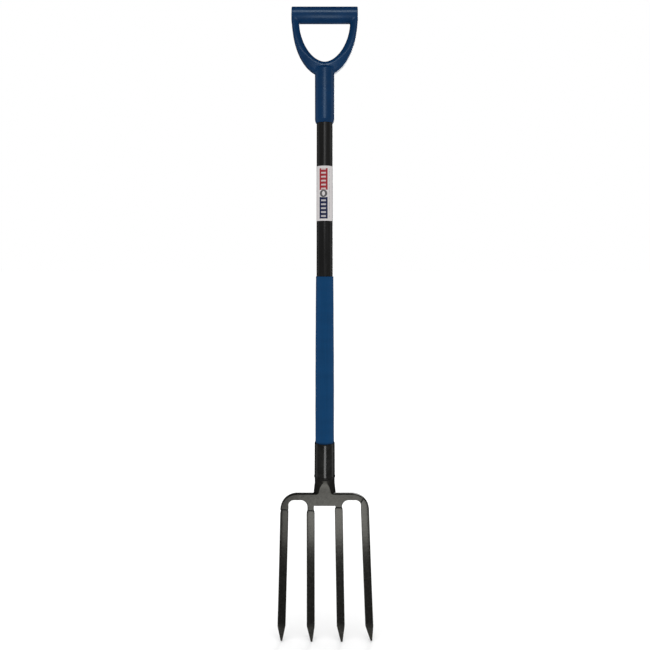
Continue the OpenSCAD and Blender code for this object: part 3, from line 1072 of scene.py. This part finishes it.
def sun(name, elevation, azimuth, spread, strength):
    """A distant soft light, with its elevation and azimuth in degrees (azimuth 0 is in front)."""
    data = bpy.data.lights.new(name, "SUN")
    data.angle = math.radians(spread)
    data.energy = strength
    lamp = bpy.data.objects.new(name, data)
    bpy.context.scene.collection.objects.link(lamp)
    e, a = math.radians(elevation), math.radians(azimuth)
    away = Vector((math.cos(e) * math.sin(a), -math.cos(e) * math.cos(a), math.sin(e)))
    lamp.rotation_euler = away.to_track_quat("Z", "Y").to_euler()
    return lamp


def panel(name, place, target, size, brightness, fill=True):
    """A soft rectangular light, unseen by the camera. Without fill it only makes highlights."""
    data = bpy.data.lights.new(name, "AREA")
    data.shape = "RECTANGLE"
    data.size, data.size_y = size
    data.energy = brightness * math.pi * size[0] * size[1]
    lamp = bpy.data.objects.new(name, data)
    bpy.context.scene.collection.objects.link(lamp)
    lamp.location = place
    lamp.rotation_euler = (Vector(target) - Vector(place)).to_track_quat("-Z", "Y").to_euler()
    lamp.visible_camera = False
    lamp.visible_diffuse = fill
    return lamp


def facing(name, x, z, size, brightness, y=FRONT_Y, fill=True):
    """A panel in front of the fork at x and z, facing straight back."""
    return panel(name, (x, y, z), (x, 0, z), size, brightness, fill)


def light_only(lamp, names):
    """Lets a light reach only the named objects."""
    reach = bpy.data.collections.new(lamp.name + "_reach")
    for name in names:
        reach.objects.link(bpy.data.objects[name])
    lamp.light_linking.receiver_collection = reach


def make_world():
    """A white backdrop for the camera, and for the object a soft light, stronger near the horizon."""
    world = bpy.data.worlds.new("studio")
    bpy.context.scene.world = world
    world.use_nodes = True
    tree = world.node_tree
    back = tree.nodes["Background"]
    back.inputs["Color"].default_value = (1, 1, 1, 1)
    path = tree.nodes.new("ShaderNodeLightPath")
    place = tree.nodes.new("ShaderNodeTexCoord")
    split = tree.nodes.new("ShaderNodeSeparateXYZ")
    tree.links.new(place.outputs["Generated"], split.inputs[0])
    height = tree.nodes.new("ShaderNodeMapRange")
    for socket, number in zip((1, 2, 3, 4), SKY_HEIGHTS + SKY_STRENGTHS):
        height.inputs[socket].default_value = number
    tree.links.new(split.outputs["Z"], height.inputs[0])
    total = None
    rays = (("Is Camera Ray", 1.0), ("Is Diffuse Ray", height.outputs[0]), ("Is Glossy Ray", SKY_GLOSS))
    for ray, amount in rays:
        part = tree.nodes.new("ShaderNodeMath")
        part.operation = "MULTIPLY_ADD"
        tree.links.new(path.outputs[ray], part.inputs[0])
        if isinstance(amount, float):
            part.inputs[1].default_value = amount
        else:
            tree.links.new(amount, part.inputs[1])
        part.inputs[2].default_value = 0
        if total is not None:
            tree.links.new(total, part.inputs[2])
        total = part.outputs[0]
    tree.links.new(total, back.inputs["Strength"])
    world.cycles.sampling_method = "NONE"


def make_camera():
    """The camera, in front of the fork and looking down at it a little."""
    data = bpy.data.cameras.new("camera")
    data.sensor_width = SENSOR_MM
    data.lens = LENS_MM
    cam = bpy.data.objects.new("camera", data)
    bpy.context.scene.collection.objects.link(cam)
    cam.location = CAMERA_PLACE
    cam.rotation_euler = (math.pi / 2 - math.radians(CAMERA_PITCH), 0, 0)
    bpy.context.scene.camera = cam


def make_lights():
    """Soft panels in front, each for its own pieces, with a tall panel at each side and one behind."""
    light_only(sun("overhead", 84, 0, 60, 2.55), ("floor",))
    light_only(panel("grip_high", (0, -1.20, 2.06), (0, 0, 1.16), (0.44, 0.42), 6.5), HANDLE)
    light_only(facing("grip_near", 0, 1.045, (0.056, 0.125), 2.15, GRIP_NEAR, False), HANDLE)
    light_only(panel("shaft_high", (0, -1.20, 1.15), (0, 0, 0.95), (0.28, 0.44), 3.6), SHAFT)
    light_only(facing("socket_front", 0.022, 0.235, (0.130, 0.150), 3.5), SOCKET)
    light_only(facing("head_front", 0.030, -0.075, (0.250, 0.550), 3.7), HEAD)
    light_only(facing("tines_front", 0.025, 0.125, (0.250, 0.130), 3.8), TINES[1:])
    light_only(facing("left_tine_front", -0.045, 0.125, (0.190, 0.130), 2.2), TINES[:1])
    light_only(panel("right", (1.3, 0.2, 0.6), (0, 0, 0.6), SIDE_SIZE, 0.42), UPRIGHT)
    light_only(panel("left", (-1.3, 0.3, 0.6), (0, 0, 0.6), SIDE_SIZE, 0.26), UPRIGHT)
    panel("behind", (0.45, 1.6, 0.9), (0, 0, 0.6), (0.5, 1.8), 3.0)


make_floor()
make_world()
make_camera()
make_lights()
bpy.context.scene.view_settings.view_transform = "Standard"
